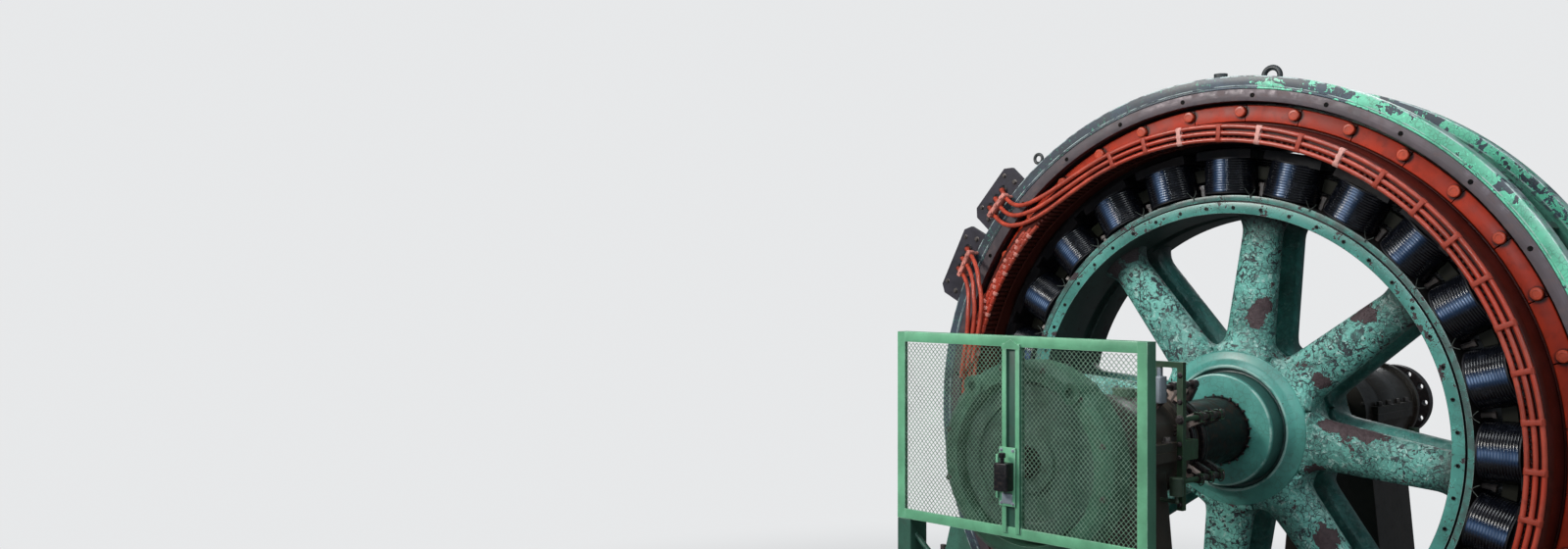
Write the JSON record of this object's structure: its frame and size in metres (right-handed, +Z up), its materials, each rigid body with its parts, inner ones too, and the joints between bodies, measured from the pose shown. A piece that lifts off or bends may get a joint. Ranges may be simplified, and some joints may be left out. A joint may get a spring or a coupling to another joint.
{
  "type": "hydroelectric generator rotor in its stator",
  "caption": "Horizontal-shaft hydroelectric generator: a spoked pole rotor turning in a ribbed stator ring, on two pedestal bearings.",
  "frame": {"origin": "middle of the foundation's underside, below the shaft axis and the middle of the stator", "axes": "+Y along the shaft towards the turbine coupling, +X to the right seen from the exciter end, +Z up"},
  "size_m": [4.32, 4.8, 4.034],
  "materials": {
    "shaft": "oiled dark steel",
    "slip_ring_bush": "varnished insulation",
    "slip_rings": "worn steel",
    "coupling_flange": "oily dark iron",
    "rotor_hub": "chipped paint",
    "front_arms": "chipped paint",
    "rear_arms": "chipped paint",
    "rotor_rim": "chipped paint",
    "rim_bolts": "dull",
    "pole_bodies": "dull laminations",
    "field_coils": "gloss varnish",
    "coil_wedges": "pressed board",
    "field_leads": "matt",
    "armature": "dull paint",
    "front_frame_ring": "peeling gloss paint",
    "rear_frame_ring": "worn paint",
    "front_face_ring": "machined, stained",
    "rear_face_ring": "machined, stained",
    "frame_ribs": "worn paint",
    "stator_core": "dusty laminations",
    "front_clamp_ring": "red insulating enamel",
    "rear_clamp_ring": "red insulating enamel",
    "clamp_bolts": "red insulating enamel",
    "front_winding": "red insulating enamel",
    "rear_winding": "red insulating enamel",
    "bus_rods": "red insulating enamel",
    "bus_clamps": "varnished tape",
    "terminal_boards": "slate",
    "bus_leads": "red insulating enamel",
    "lifting_eyes": "dark",
    "stator_feet": "worn paint",
    "foot_bolts": "dull",
    "front_pedestal": "grimy paint",
    "front_bearing_cap": "grimy paint",
    "front_bush": "white metal",
    "rear_pedestal": "grimy paint",
    "rear_bearing_cap": "grimy paint",
    "rear_bush": "white metal",
    "oil_fittings": "oily paint",
    "brush_gear": "dull paint",
    "exciter_frame": "dull paint",
    "guard_frame": "paint",
    "guard_mesh": "paint",
    "guard_legs": "paint",
    "guard_braces": "paint",
    "base_slab": "concrete",
    "stator_plinths": "concrete",
    "front_pier": "concrete",
    "rear_pier": "concrete"
  },
  "bodies": {
    "stator": {"front_frame_ring": "front_frame_ring", "rear_frame_ring": "rear_frame_ring", "front_face_ring": "front_face_ring", "rear_face_ring": "rear_face_ring", "frame_ribs": "frame_ribs", "stator_core": "stator_core", "front_clamp_ring": "front_clamp_ring", "rear_clamp_ring": "rear_clamp_ring", "clamp_bolts": "clamp_bolts", "front_winding": "front_winding", "rear_winding": "rear_winding", "bus_rods": "bus_rods", "bus_clamps": "bus_clamps", "terminal_boards": "terminal_boards", "bus_leads": "bus_leads", "lifting_eyes": "lifting_eyes", "stator_feet": "stator_feet", "foot_bolts": "foot_bolts", "front_pedestal": "front_pedestal", "front_bearing_cap": "front_bearing_cap", "front_bush": "front_bush", "rear_pedestal": "rear_pedestal", "rear_bearing_cap": "rear_bearing_cap", "rear_bush": "rear_bush", "oil_fittings": "oil_fittings", "brush_gear": "brush_gear", "exciter_frame": "exciter_frame", "guard_frame": "guard_frame", "guard_mesh": "guard_mesh", "guard_legs": "guard_legs", "guard_braces": "guard_braces", "base_slab": "base_slab", "stator_plinths": "stator_plinths", "front_pier": "front_pier", "rear_pier": "rear_pier"},
    "rotor": {"shaft": "shaft", "slip_ring_bush": "slip_ring_bush", "slip_rings": "slip_rings", "coupling_flange": "coupling_flange", "rotor_hub": "rotor_hub", "front_arms": "front_arms", "rear_arms": "rear_arms", "rotor_rim": "rotor_rim", "rim_bolts": "rim_bolts", "pole_bodies": "pole_bodies", "field_coils": "field_coils", "coil_wedges": "coil_wedges", "field_leads": "field_leads", "armature": "armature"}
  },
  "joints": [
    {"name": "rotor_spin", "type": "hinge", "parent": "stator", "child": "rotor", "pos_m": [0, 0, 2.1], "axis": [0, 1, 0], "continuous": true}
  ]
}
